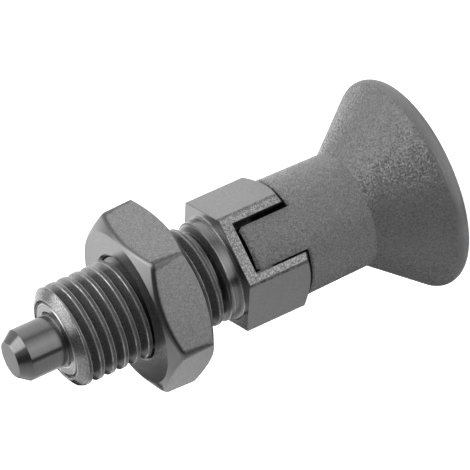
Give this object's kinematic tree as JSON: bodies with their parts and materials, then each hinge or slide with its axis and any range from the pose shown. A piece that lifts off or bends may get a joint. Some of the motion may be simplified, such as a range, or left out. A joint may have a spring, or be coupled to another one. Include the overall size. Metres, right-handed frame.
{
  "type": "indexing plunger",
  "caption": "Spring-loaded indexing plunger: threaded sleeve with a slotted hex collar, guided locking pin, thin locknut and a flared pull grip whose tongues lock in the slot.",
  "frame": {"origin": "on the axis, at the front face of the hex collar, which seats on the plate the plunger is screwed into", "axes": "+Z along the axis towards the locking pin; the collar's cross slot runs along Y, and the collar has a corner on +X"},
  "size_m": [0.0248, 0.0248, 0.0519],
  "materials": {
    "sleeve_steel": "turned and milled steel, satin",
    "bush_steel": "turned steel, satin",
    "pin_steel": "hardened and ground steel",
    "spring_steel": "drawn spring wire",
    "grip_plastic": "moulded, fine matt grain",
    "nut_steel": "steel, lightly mottled"
  },
  "bodies": {
    "sleeve": {"threaded_sleeve": "sleeve_steel", "guide_bush": "bush_steel"},
    "spring": {"compression_spring": "spring_steel"},
    "plunger": {"locking_pin": "pin_steel", "pull_grip": "grip_plastic"},
    "nut": {"locknut": "nut_steel"}
  },
  "joints": [
    {"name": "pull", "type": "slide", "parent": "sleeve", "child": "spring", "axis": [0, 0, -1], "range_m": [0, 0.0068], "stiffness_N_per_m": 1300, "springref_m": -0.0046, "deforming": ["compression_spring"]},
    {"name": "turn", "type": "hinge", "parent": "spring", "child": "plunger", "pos_m": [0, 0, 0], "axis": [0, 0, 1], "range_deg": [-2, 6]},
    {"name": "locknut_travel", "type": "slide", "parent": "sleeve", "child": "nut", "axis": [0, 0, 1], "range_m": [-0.004, 0.00875]}
  ]
}
